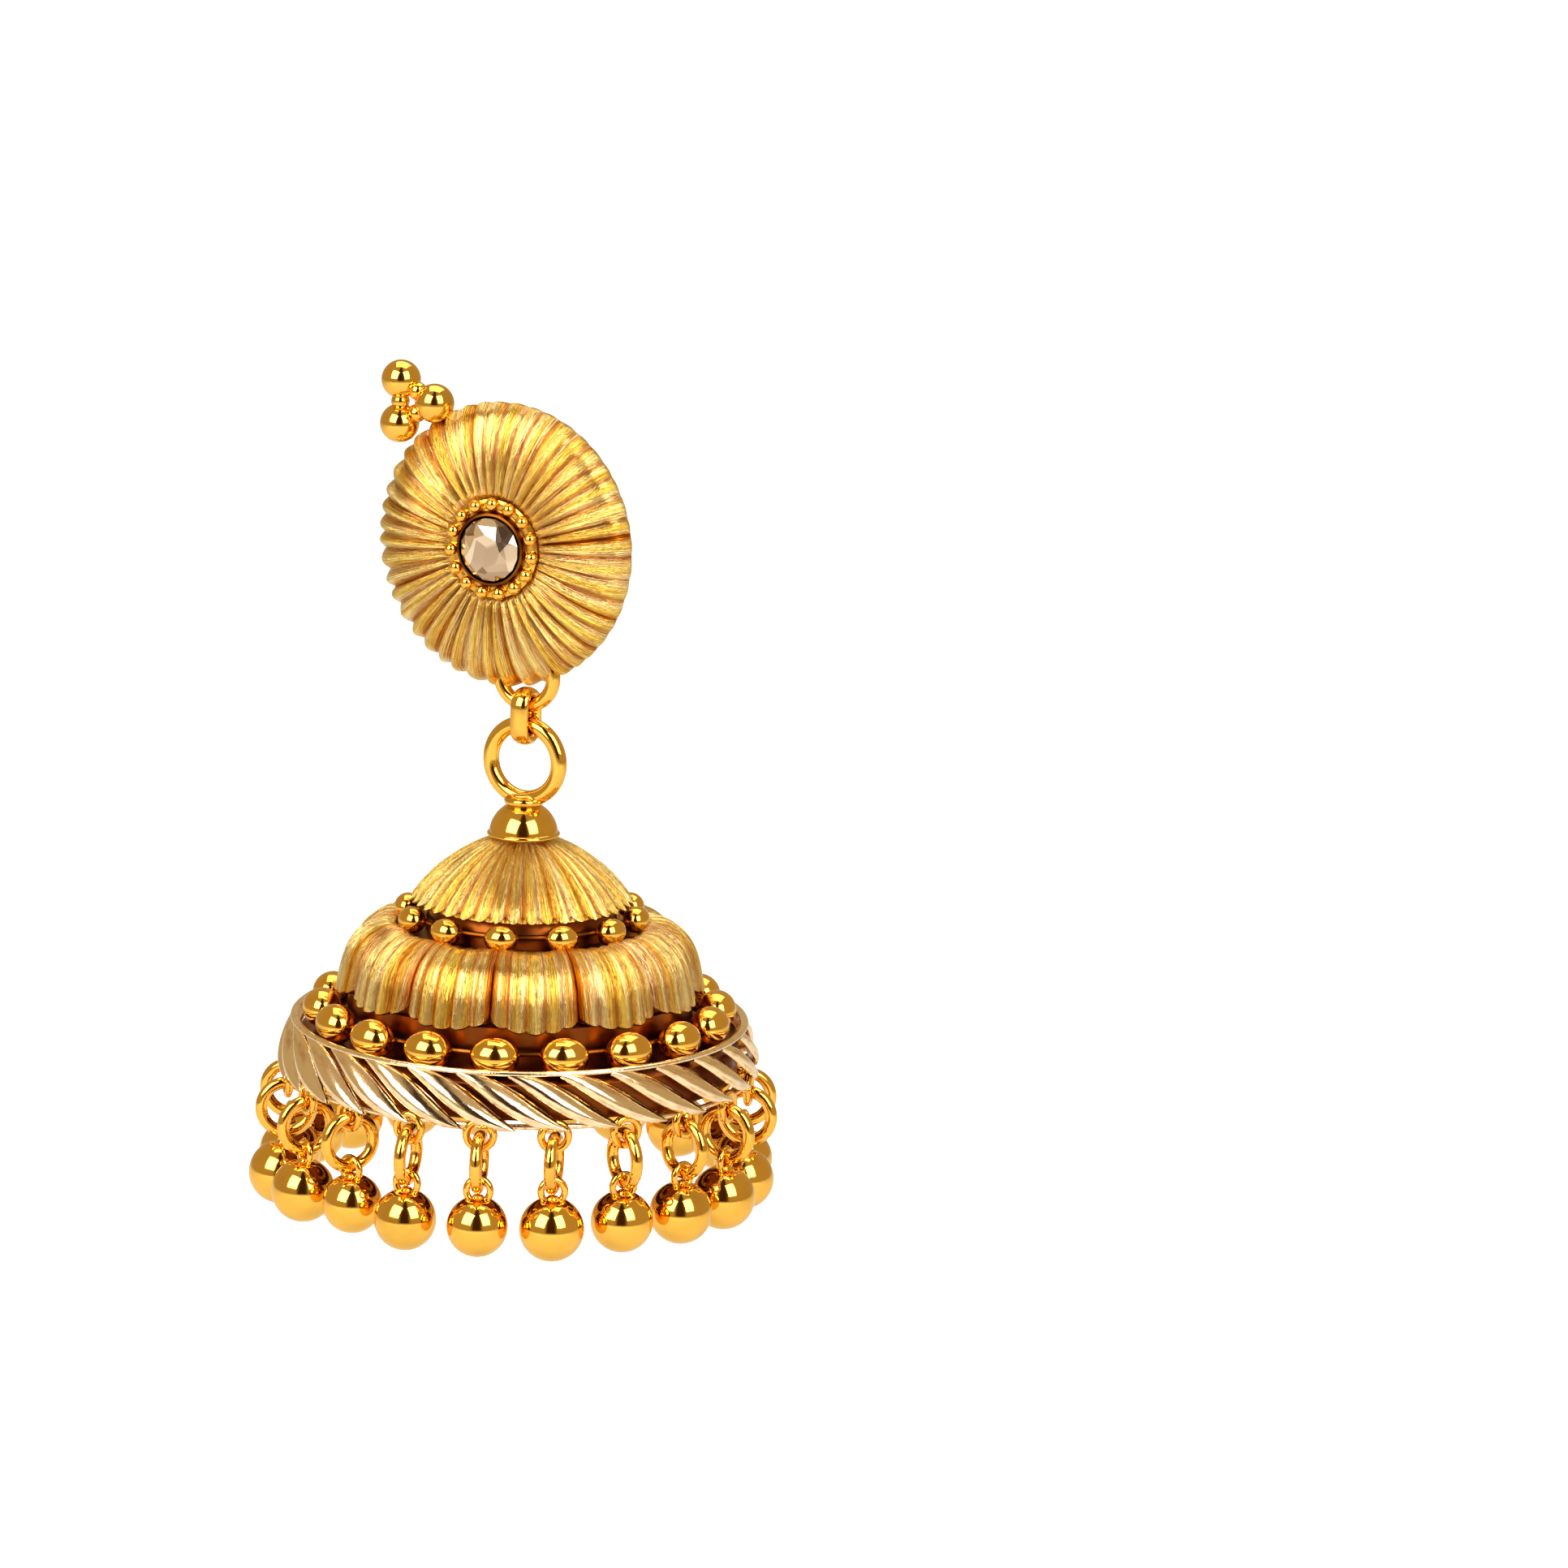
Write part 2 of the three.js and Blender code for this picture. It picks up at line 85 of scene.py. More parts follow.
BELL_RING = {"drop": -4.16, "radius": 2.1, "wire": 0.45}
CAP_RADIUS = 1.93
STEM_RADIUS, STEM_FOOT = 0.45, 4.5
UPPER_FLUTES = 40
FLUTE_DEPTH, FLUTE_SCALLOP = 0.5, 0.34
LOBES, RIBS = 12, 5
LOBE_COLUMNS = 70
NOTCH_DEPTH, RIB_DEPTH = 0.95, 0.24
LOBE_CORNER, RIB_SCALLOP = 0.75, 0.1  # how far a lobe's lower corners and its ribs' feet are lifted
LOBE_POWER, RIB_POWER = 0.45, 2.4  # how full a lobe is and how narrow the lines between its ribs are
LOBE_TURN = np.radians(17)  # from the front to a notch between two lobes
UPPER_BEADS = {"count": 12, "radius": 0.75, "circle": 6.45, "drop": 4.47}
LOWER_BEADS = {"count": 18, "radius": 1.1, "circle": 11.0, "drop": 9.95}
BEAD_STRETCH = 1.25  # length of a bead along its row, by its thickness
BEAD_WIRE = 0.16
LEAVES = 28
BAND = {"top": 10.4, "radius": 12.6, "lean": 0.19}
LEAF_SPAN = {"run": 6.3, "fall": 3.0, "top": 10.48}
LEAF_EDGES = (10.3, 13.49)  # drops that no leaf passes
LEAF_CIRCLE = 12.9
LEAF_BEND = 0.45  # share of an S in the fall of a leaf
LEAF_WIDTH = {"stem": 0.16, "full": 0.56, "lean": 1.15, "power": 0.8}
LEAF_DEPTH = {"front": 0.42, "back": 0.2, "ends": 0.3, "crease": 0.4, "twist": 0.34}
BAND_RIMS = [
    {"circle": 12.52, "drop": 10.44, "wide": 0.24, "high": 0.15},
    {"circle": 12.92, "drop": 13.3, "wide": 0.16, "high": 0.16},
]
DROPS = 20
FRINGE_CIRCLE = 12.96
EYELET = {"radius": 0.75, "wire": 0.22, "drop": 13.82}
JUMP_RING = {"radius": 1.4, "wire": 0.34, "drop": 15.33}
BALL = {"radius": 1.72, "eye": 0.66, "eye_wire": 0.2, "eye_rise": 2.03}
RING_TWIST = 22  # largest turn of a jump ring on its upright axis, in degrees
SWAY_ALONG_LIMIT, SWAY_OUT_LIMIT = 2.2, 5.0  # largest sway of a ball drop, in degrees
BALL_UNEVEN = 0.05  # largest difference in size between a ball and the usual one, as a share


# Surfaces as arrays


def curve(points, samples):
    """Cubic curve through the points, whose slope at each is half the step between its neighbours."""
    p = np.asarray(points, float)
    p = np.vstack([2 * p[0] - p[1], p, 2 * p[-1] - p[-2]])
    t = np.linspace(0, len(points) - 1, samples)
    i = np.minimum(t.astype(int), len(points) - 2)
    f = (t - i)[:, None]
    a, b, c, d = (p[i + k] for k in range(4))
    return 0.5 * (2 * b + (c - a) * f + (2 * a - 5 * b + 4 * c - d) * f**2 + (3 * b - a - 3 * c + d) * f**3)


def joined(*runs):
    """Runs of a section one after another, with a crisp corner where two runs meet."""
    return np.vstack(runs)


def quads(points, close_rows=False, close_columns=True, grain=None, recess=None):
    """Quads between neighbouring points of a rows by columns grid, with a UV for each corner and a painted
    shade value for each point. grain gives U for each column edge and V for each row edge; the painted shade
    is 0 where no shade is painted and 1 in full painted shade, as in a valley."""
    rows, columns = points.shape[:2]
    r = np.arange(rows if close_rows else rows - 1)
    c = np.arange(columns if close_columns else columns - 1)
    row, column = np.meshgrid(r, c, indexing="ij")
    steps = [(0, 0), (0, 1), (1, 1), (1, 0)]
    faces = np.stack([((row + a) % rows) * columns + (column + b) % columns for a, b in steps], -1)
    u, v = grain if grain else (np.linspace(0, 1, columns + 1), np.linspace(0, 1, rows + 1))
    uv = np.stack([np.stack([u[column + b], v[row + a]], -1) for a, b in steps], -2)
    depth = np.zeros((rows, columns)) if recess is None else np.broadcast_to(recess, (rows, columns))
    return {
        "points": points.reshape(-1, 3),
        "faces": faces.reshape(-1, 4),
        "uv": uv.reshape(-1, 2),
        "recess": depth.ravel(),
    }


def turned(section, columns, press=None, grain_count=None, recess=None, close_rows=False):
    """A section of (radius, height) rows carried round the Z axis: x = r sin a, y = -r cos a.
    press(section, angle) gives what is added to the radius and to the height."""
    section = np.asarray(section, float)
    angle = np.arange(columns) / columns * TAU
    radius = np.repeat(section[:, :1], columns, 1)
    height = np.repeat(section[:, 1:], columns, 1)
    if press:
        out, up = press(section, angle)
        radius, height = radius + out, height + up
    points = np.stack([radius * np.sin(angle), -radius * np.cos(angle), height], -1)
    length = np.concatenate([[0], np.cumsum(np.hypot(*np.diff(section, axis=0).T))])
    v = np.append(length, length[-1] + 0.1)
    u = np.arange(columns + 1) / columns * (grain_count or section[:, 0].max() * TAU)
    depth = recess(section, angle) if recess else None
    return quads(points, close_rows, True, (u, v), depth)


def loop(route, across, wide, thick, sides=20):
    """An elliptical wire carried round a closed flat route: at each step it spreads 'wide' along the
    route plane's normal and 'thick' along the direction square to both the route and that normal."""
    along = np.roll(route, -1, 0) - np.roll(route, 1, 0)
    along /= np.linalg.norm(along, axis=1, keepdims=True)
    normal = np.asarray(across, float)
    outward = np.cross(along, normal)
    a = np.arange(sides) / sides * TAU
    section = np.cos(a)[:, None] * thick * outward[:, None] + np.sin(a)[:, None] * wide * normal
    points = route[:, None] + section
    u = np.arange(sides + 1) / sides * TAU * thick
    v = np.arange(len(route) + 1) / len(route) * np.linalg.norm(np.diff(route, axis=0), axis=1).sum()
    return quads(points, True, True, (u, v))


def circle(radius, steps=64, stretch=0.0):
    """A circle in the XZ plane. stretch moves its upper half up and its lower half down."""
    a = (np.arange(steps) + 0.5) / steps * TAU
    z = radius * np.sin(a)
    return np.stack([radius * np.cos(a), np.zeros(steps), z + np.sign(z) * stretch], -1)


def bead(radius, long=1.0, columns=32, rows=17):
    """A sphere drawn out along X: a half circle turned round the X axis."""
    t = np.linspace(0, np.pi, rows)
    made = turned(np.stack([radius * np.sin(t), radius * np.cos(t)], -1), columns)
    x, y, z = made["points"].T
    return {**made, "points": np.stack([z * long, y, x], -1)}


def moved(surface, by=(0, 0, 0), turn=0.0):
    """The surface turned round Z by an angle in radians, after it is moved."""
    p = surface["points"] + np.asarray(by, float)
    c, s = np.cos(turn), np.sin(turn)
    x, y = p[:, 0] * c - p[:, 1] * s, p[:, 0] * s + p[:, 1] * c
    return {**surface, "points": np.stack([x, y, p[:, 2]], -1)}


def tipped(surface):
    """Stands a surface that was turned round Z on the Y axis: its height becomes a rise towards -Y."""
    x, y, z = surface["points"].T
    return {**surface, "points": np.stack([x, -z, -y], -1)}


def around(count, make, start=0.0):
    """count copies round the Z axis; make(i) gives the copy at the front."""
    return [moved(make(i), turn=(i + start) / count * TAU) for i in range(count)]


def on_bell(surface, drop=0.0):
    """Hangs a surface on the bell's axis, measured down from the cap's foot."""
    return moved(surface, (BELL_AXIS[0], BELL_AXIS[1], CAP_FOOT - drop))


def piece(name, surfaces, body, material, nodes):
    """Joins surfaces into one mesh in metres, welds its seams and poles, turns its faces outwards and
    hands it to the frame."""
    offset = np.cumsum([0] + [len(s["points"]) for s in surfaces])
    points = np.vstack([s["points"] for s in surfaces]) * MM
    faces = np.vstack([s["faces"] + o for s, o in zip(surfaces, offset)])
    mesh = bpy.data.meshes.new(name)
    mesh.from_pydata(points, [], faces)
    mesh.uv_layers.new(name="UVMap").data.foreach_set("uv", np.vstack([s["uv"] for s in surfaces]).ravel())
    depth = np.concatenate([s["recess"] for s in surfaces])
    mesh.attributes.new("recess", "FLOAT", "POINT").data.foreach_set("value", depth)
    work = bmesh.new()
    work.from_mesh(mesh)
    bmesh.ops.remove_doubles(work, verts=work.verts, dist=WELD * MM)
    bmesh.ops.recalc_face_normals(work, faces=work.faces)
    work.to_mesh(mesh)
    work.free()
    mesh.polygons.foreach_set("use_smooth", np.ones(len(mesh.polygons), bool))
    mesh.set_sharp_from_angle(angle=CREASE_ANGLE)
    mesh.materials.append(material)
    made = bpy.data.objects.new(name, mesh)
    bpy.context.collection.objects.link(made)
    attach(made, body)
    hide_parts(*nodes)
    return made


# Finishes

STREAK_EDGES = (0.38, 0.66)  # values of the broad noise between which a streak comes up
STREAK_GLOSS = 0.08  # how much smoother a streak is
CUT_EDGES = (0.5, 0.3)  # values of the fine noise between which an engraved line darkens with painted shade
# painted shade at the bottom of an engraved line
CUT_PAINTED_SHADE = 0.75
CLOUD_SCALE = 420.0  # clouds of patina to a metre
CLOUD_SHADE = (-0.1, 0.18)
FACET_SCALE = 800.0  # cells of the stone to a metre
# painted facet reflections of the stone in champagne tones: a pale glint and a dark brown
STONE_PAINTED_GLINT, STONE_PAINTED_DARK = (1.0, 0.8, 0.56, 1), (0.26, 0.13, 0.045, 1)


def shader_group(name, inputs, outputs):
    """A node group with named sockets: its tree, its input node and its output node."""
    tree = bpy.data.node_groups.new(name, "ShaderNodeTree")
    for label, kind, value in inputs:
        tree.interface.new_socket(label, in_out="INPUT", socket_type=kind).default_value = value
    for label, kind in outputs:
        tree.interface.new_socket(label, in_out="OUTPUT", socket_type=kind)
    return tree, tree.nodes.new("NodeGroupInput"), tree.nodes.new("NodeGroupOutput")


def add_node(tree, kind, settings=None, **links):
    """A node with its settings, whose sockets take a value, or the output that is linked to them.
    A socket is named by its label, or by its number as in0, in1."""
    made = tree.nodes.new(kind)
    for key, value in (settings or {}).items():
        setattr(made, key, value)
    for key, value in links.items():
        numbered = key[:2] == "in" and key[2:].isdigit()
        socket = made.inputs[int(key[2:]) if numbered else key]
        if isinstance(value, bpy.types.NodeSocket):
            tree.links.new(value, socket)
        else:
            socket.default_value = value
    return made


def maths(tree, operation, **links):
    """A Math node for one operation: its result."""
    return add_node(tree, "ShaderNodeMath", {"operation": operation}, **links).outputs[0]


def blend_of(tree, share, first, second):
    """Colour that goes from the first to the second by the share."""
    mix = add_node(tree, "ShaderNodeMix", {"data_type": "RGBA"}, in0=share, in6=first, in7=second)
    return mix.outputs[2]


def step_between(tree, value, edges, kind="LINEAR", reach=(0.0, 1.0)):
    """Value mapped from between two edges to between the two ends of its reach."""
    settings = {"interpolation_type": kind}
    ends = {"in1": edges[0], "in2": edges[1], "in3": reach[0], "in4": reach[1]}
    return add_node(tree, "ShaderNodeMapRange", settings, in0=value, **ends).outputs[0]


def engraved_lines():
    """Fine lines that run along V: noise on the UV map, squeezed many times more across than along."""
    tree, take, give = shader_group(
        "engraved_lines",
        [
            ("UV", "NodeSocketVector", (0, 0, 0)),
            ("Lines", "NodeSocketFloat", 8.0),
            ("Breaks", "NodeSocketFloat", 0.6),
        ],
        [("Height", "NodeSocketFloat"), ("Streak", "NodeSocketFloat")],
    )
    parts = add_node(tree, "ShaderNodeSeparateXYZ", in0=take.outputs["UV"])
    across = maths(tree, "MULTIPLY", in0=parts.outputs[0], in1=take.outputs["Lines"])
    along = maths(tree, "MULTIPLY", in0=parts.outputs[1], in1=take.outputs["Breaks"])
    place = add_node(tree, "ShaderNodeCombineXYZ", in0=across, in1=along).outputs[0]
    fine = add_node(tree, "ShaderNodeTexNoise", Vector=place, Scale=1.0, Detail=3.0, Roughness=0.65)
    broad = add_node(tree, "ShaderNodeTexNoise", Vector=place, Scale=0.23, Detail=1.0)
    streak = step_between(tree, broad.outputs["Fac"], STREAK_EDGES, "SMOOTHSTEP")
    tree.links.new(fine.outputs["Fac"], give.inputs["Height"])
    tree.links.new(streak, give.inputs["Streak"])
    return tree


def gold_clouds_and_painted_shade():
    """Plate with painted shade in the valleys: colour goes to the deep tone by the painted shade value,
    broken up by a cloudy noise of random tone, and the same clouds put out a dullness."""
    tree, take, give = shader_group(
        "gold_clouds_and_painted_shade",
        [
            ("Position", "NodeSocketVector", (0, 0, 0)),
            ("Recess", "NodeSocketFloat", 0.0),
            ("Bright", "NodeSocketColor", (1, 1, 1, 1)),
            ("Deep", "NodeSocketColor", (0, 0, 0, 1)),
        ],
        [("Colour", "NodeSocketColor"), ("Dull", "NodeSocketFloat")],
    )
    place = take.outputs["Position"]
    clouds = add_node(tree, "ShaderNodeTexNoise", Vector=place, Scale=CLOUD_SCALE, Detail=4.0, Roughness=0.6)
    spread = step_between(tree, clouds.outputs["Fac"], (0.35, 0.75), reach=CLOUD_SHADE)
    added = {"operation": "ADD", "use_clamp": True}
    shade = add_node(tree, "ShaderNodeMath", added, in0=take.outputs["Recess"], in1=spread).outputs[0]
    colour = blend_of(tree, shade, take.outputs["Bright"], take.outputs["Deep"])
    tree.links.new(colour, give.inputs["Colour"])
    tree.links.new(shade, give.inputs["Dull"])
    return tree


LINES = engraved_lines()
CLOUDS_AND_PAINTED_SHADE = gold_clouds_and_painted_shade()


def gold(name, bright, deep, smooth, dull, lines=None, cut=0.0, pale=None):
    """Plated metal with clouds of patina, from bright and smooth on top to deep and dull in a valley, where
    the deep colour is painted shade. lines gives the number of engraved lines across one unit of U and of
    their breaks along V;
    they are cut that many millimetres deep and darken there with painted shade. pale is the colour of a
    painted sheen on the glossier streaks between them, and its share."""
    material = bpy.data.materials.new(name)
    material.use_nodes = True
    tree = material.node_tree
    shader = tree.nodes["Principled BSDF"]
    shader.inputs["Metallic"].default_value = 1.0
    where = add_node(tree, "ShaderNodeTexCoord")
    # painted shade value per point: painted shade in valleys, inside walls and on parts that lie in shade
    valley = add_node(tree, "ShaderNodeAttribute", {"attribute_name": "recess"}).outputs["Fac"]
    shaded_plate = add_node(tree, "ShaderNodeGroup", {"node_tree": CLOUDS_AND_PAINTED_SHADE}, Position=where.outputs["Object"])
    shaded_plate.inputs["Bright"].default_value = (*bright, 1)
    shaded_plate.inputs["Deep"].default_value = (*deep, 1)
    rough = step_between(tree, shaded_plate.outputs["Dull"], (0.0, 1.0), reach=(smooth, dull))
    colour = shaded_plate.outputs["Colour"]
    if lines:
        engraving = add_node(tree, "ShaderNodeGroup", {"node_tree": LINES}, UV=where.outputs["UV"])
        engraving.inputs["Lines"].default_value, engraving.inputs["Breaks"].default_value = lines
        height, streak = engraving.outputs["Height"], engraving.outputs["Streak"]
        bump = add_node(tree, "ShaderNodeBump", Strength=1.0, Distance=cut * MM, Height=height)
        tree.links.new(bump.outputs[0], shader.inputs["Normal"])
        rough = maths(tree, "MULTIPLY_ADD", in0=streak, in1=-STREAK_GLOSS, in2=rough)
        # painted shade in the engraved lines
        cut_shade = step_between(tree, height, CUT_EDGES, reach=(0.0, CUT_PAINTED_SHADE))
        valley = maths(tree, "ADD", in0=valley, in1=cut_shade)
        # Painted sheen: the pale colour laid over the glossier streaks by their share
        colour = blend_of(tree, maths(tree, "MULTIPLY", in0=streak, in1=pale[3]), colour, (*pale[:3], 1))
    tree.links.new(valley, shaded_plate.inputs["Recess"])
    tree.links.new(colour, shader.inputs["Base Color"])
    tree.links.new(rough, shader.inputs["Roughness"])
    return material


def champagne_stone():
    """A foiled cut stone: cells of pale and brown champagne, painted reflections of the light and dark its
    facets throw back from the foil.
    """
    material = bpy.data.materials.new("champagne_stone")
    material.use_nodes = True
    tree = material.node_tree
    shader = tree.nodes["Principled BSDF"]
    shader.inputs["Metallic"].default_value = 0.9
    shader.inputs["Roughness"].default_value = 0.05
    shader.inputs["IOR"].default_value = 1.75
    shader.inputs["Coat Weight"].default_value = 0.6
    shader.inputs["Coat Roughness"].default_value = 0.02
    where = add_node(tree, "ShaderNodeTexCoord")
    cells = add_node(tree, "ShaderNodeTexVoronoi", Vector=where.outputs["Object"], Scale=FACET_SCALE)
    parts = add_node(tree, "ShaderNodeSeparateColor", in0=cells.outputs["Color"])
    # painted reflections, pale or brown by cell
    painted_facets = blend_of(tree, parts.outputs[0], STONE_PAINTED_GLINT, STONE_PAINTED_DARK)
    tree.links.new(painted_facets, shader.inputs["Base Color"])
    return material


# deep is each gold's painted shade colour, reached in full painted shade; the clouds of random tone also
# draw towards it
POLISHED = gold(
    "polished_gold", bright=(0.94, 0.53, 0.085), deep=(0.16, 0.045, 0.004), smooth=0.07, dull=0.3
)
FLUTED = gold(
    "fluted_gold",
    bright=(0.97, 0.67, 0.11),
    deep=(0.52, 0.15, 0.002),
    smooth=0.16,
    dull=0.3,
    lines=(13.0, 0.3),
    cut=0.19,
    # painted sheen on the streaks
    pale=(1.0, 0.89, 0.49, 0.55),
)
LEAF = gold(
    "leaf_gold",
    bright=(1.0, 0.78, 0.46),
    deep=(0.54, 0.21, 0.045),
    smooth=0.12,
    dull=0.3,
    lines=(3.0, 0.6),
    cut=0.02,
    # painted sheen on the streaks
    pale=(1.0, 0.9, 0.74, 0.5),
)
# Painted shade: dark gold for the inside of the bell, as if in the bell's shadow
PAINTED_SHADE_GOLD = gold("painted_shade_gold", bright=(0.2, 0.05, 0.008), deep=(0.06, 0.015, 0.002), smooth=0.3, dull=0.5)
STONE = champagne_stone()


# Stud

PLEAT_WAVES = (3, 5, 11, 17)  # turns of the slow waves that shift the pleats
PLEAT_POWER = 1.8


def oval(surface):
    """A tipped surface drawn out upwards from the stud's width to its height."""
    return {**surface, "points": surface["points"] * (1, 1, STUD_HEIGHT / STUD_WIDTH)}


def pleats(angle, count, uneven=0.0):
    """Depth across each pleat, 0 on its ridge and 1 in the valley: the pleat's own coordinate, from -1
    to 1, to a power. uneven shifts the valleys by slow waves round the circle, so that the pleats vary
    in width."""
    phases = rng.uniform(0, TAU, len(PLEAT_WAVES))
    waves = sum(np.sin(k * angle + p) / k**0.5 for k, p in zip(PLEAT_WAVES, phases))
    across = 2 * ((angle / TAU * count + uneven * waves) % 1) - 1
    return np.abs(across) ** PLEAT_POWER


def rise_between(value, low, high):
    """Smooth step from 0 at low to 1 at high."""
    t = np.clip((value - low) / (high - low), 0, 1)
    return t * t * (3 - 2 * t)


def rosette():
    """Pleated oval dome: the section runs from the back's centre round the rim, over the crown and down
    into the hollow that takes the stone's cup. Each valley has its own depth."""
    half = STUD_WIDTH / 2
    rim = [(0.97, 0), (1, 0.35), (1, 0.85), (0.93, 1.5)]
    crown = [(0.78, 2.08), (0.6, 2.36), (0.47, 2.36), (0.39, 2.24), (0.35, 1.9)]
    section = joined(
        [(0, 0), (4, 0)],
        curve([(share * half, rise) for share, rise in rim + crown], 56),
        [(SETTING_RECESS + 0.01, 1.5), (SETTING_RECESS, 0.75), (0, 0.75)],
    )
    columns = PETALS * PLEAT_COLUMNS
    depth = pleats(np.arange(columns) / columns * TAU, PETALS, PETAL_UNEVEN)
    deep = depth * np.repeat(rng.uniform(*VALLEY_RANGE, PETALS), PLEAT_COLUMNS)

    def press(rows, angle):
        """The front sinks and the rim draws in by the pleat's depth."""
        front = rise_between(rows[:, 1], 0.05, 0.9) * rise_between(rows[:, 0], 2.6, 3.3)
        rim = rise_between(rows[:, 0], half * 0.9, half) * rise_between(rows[:, 1], 0.0, 0.4)
        return -RIM_SCALLOP * rim[:, None] * deep, -PETAL_DEPTH * front[:, None] * deep

    def recess(rows, angle):
        """Painted shade: the pleat's depth to a power, on the front only."""
        front = rise_between(rows[:, 0], 2.5, 2.8) * rise_between(rows[:, 1], 0.1, 0.5)
        return front[:, None] * depth**VALLEY_SHADE_POWER

    return oval(tipped(turned(section, columns, press, PETALS, recess)))


def stud_findings():
    """Granules, the solder between them and the rim, and the hanging loop."""
    places = [np.array([x, -GRANULES["rise"], z]) for x, z in GRANULES["places"]]
    granules = [moved(bead(GRANULES["radius"], columns=48, rows=25), at) for at in places]
    top, inner, lower = places
    rim = [at * (SOLDER_RIM_SHARE, 1, SOLDER_RIM_SHARE) for at in (inner, lower)]
    pairs = [(top, inner), (top, lower), (inner, lower), (inner, rim[0]), (lower, rim[1])]
    solder = [moved(bead(SOLDER_RADIUS, columns=20, rows=11), (a + b) / 2) for a, b in pairs]
    hanger = loop(circle(STUD_LOOP["radius"]), (0, 1, 0), STUD_LOOP["wire"], STUD_LOOP["wire"])
    return granules + solder + [moved(hanger, (*BELL_AXIS, STUD_LOOP["z"]))]


def stone_cup():
    """Cup with a narrow wall round the stone and a flange that carries the small beads."""
    section = joined(
        [(0, 0.8), (2.4, 0.8), (2.4, 1.85), (2.74, 1.9), (2.76, 2.0)],
        curve([(2.74, 2.1), (2.5, 2.16), (2.16, 2.14), (2.03, 2.3), (2.0, 2.46)], 12),
        [(1.88, 2.5), (1.88, 2.2), (0.55, 1.1), (0, 1.1)],
    )
    inner = 1 - rise_between(section[:, 0], 2.05, 2.3)

    def recess(rows, angle):
        """Painted shade: a quarter on the flange, going to 1 inside the wall."""
        return np.repeat(0.25 + 0.75 * inner[:, None], len(angle), 1)

    return tipped(turned(section, 90, recess=recess))


def setting_beads():
    """Small beads on a circle round the stone: x = r sin a, z = r cos a."""
    circle_of = np.arange(SETTING_BEADS["count"]) / SETTING_BEADS["count"] * TAU
    reach, rise = SETTING_BEADS["circle"], SETTING_BEADS["rise"]
    small = bead(SETTING_BEADS["radius"], columns=20, rows=11)
    return [moved(small, (reach * np.sin(a), -rise, reach * np.cos(a))) for a in circle_of]


def ear_post():
    """Pad and post behind the stud, with a rounded tip and the groove that a clutch clicks into."""
    wide, thin, end = PAD_RADIUS, POST_RADIUS, -POST_LENGTH
    section = joined(
        [(0, -0.1), (wide - 0.1, -0.1)],
        curve([(wide - 0.1, -0.1), (wide, -0.25), (wide - 0.05, -0.45), (1.6, -0.5)], 10),
        [(0.6, -0.5)],
        curve([(0.6, -0.5), (0.47, -0.62), (thin, -0.9)], 6),
        [(thin, -8.4)],
        curve([(thin, -8.4), (0.36, -8.7), (0.36, -9.0), (thin, -9.3)], 9),
        [(thin, end + 0.6)],
        curve([(thin, end + 0.6), (0.38, end + 0.25), (0.2, end + 0.05), (0, end)], 8),
    )
    return tipped(turned(section, 40))


piece("rosette_dome", [rosette()], "stud", FLUTED, ["stud_rosette"])
piece("stud_findings", stud_findings(), "stud", POLISHED, ["stud_rosette"])
piece("stone_cup", [stone_cup()], "stud", POLISHED, ["stone_setting"])
piece("setting_beads", setting_beads(), "stud", POLISHED, ["stone_setting"])
piece("ear_post_turned", [ear_post()], "stud", POLISHED, ["ear_post"])
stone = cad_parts["center_stone"]
stone.data.materials.clear()
stone.data.materials.append(STONE)

# Link and finial


def oval_link():
    """Oblong loop in the YZ plane, its wire wider across than it is thick."""
    half = (LINK_HIGH[2] - LINK_LOW[2]) / 2 - LINK["edge"]
    route = circle(LINK["radius"], 96, half - LINK["radius"])[:, [1, 0, 2]]
    return moved(loop(route, (1, 0, 0), LINK["wide"], LINK["thick"], 28), (*BELL_AXIS, LINK_MID_Z))


def finial():
    """Ring, and below it one section turned round the bell's axis: collar, domed cap and riveted stem."""
    hoop = loop(circle(BELL_RING["radius"], 96), (0, 1, 0), BELL_RING["wire"], BELL_RING["wire"], 24)
    dome = np.radians(np.linspace(59, 7, 20))
    section = joined(
        curve([(0, 2.38), (0.7, 2.32), (1.06, 2.08), (1.1, 1.88), (0.99, 1.68)], 14),
        np.stack([CAP_RADIUS * np.cos(dome), CAP_RADIUS * np.sin(dome)], -1),
        curve([(1.94, 0.22), (2.02, 0.14), (2.02, 0.04), (1.92, 0)], 8),
        [(STEM_RADIUS, 0), (STEM_RADIUS, -STEM_FOOT)],
        [(1, -STEM_FOOT), (0.95, -4.8), (0.6, -4.93), (0, -4.95)],
    )
    return [on_bell(hoop, BELL_RING["drop"]), on_bell(turned(section, 72))]


piece("oval_link", [oval_link()], "link", POLISHED, ["connector_link"])
piece("finial", finial(), "drop", POLISHED, ["bell_finial"])

# Bell


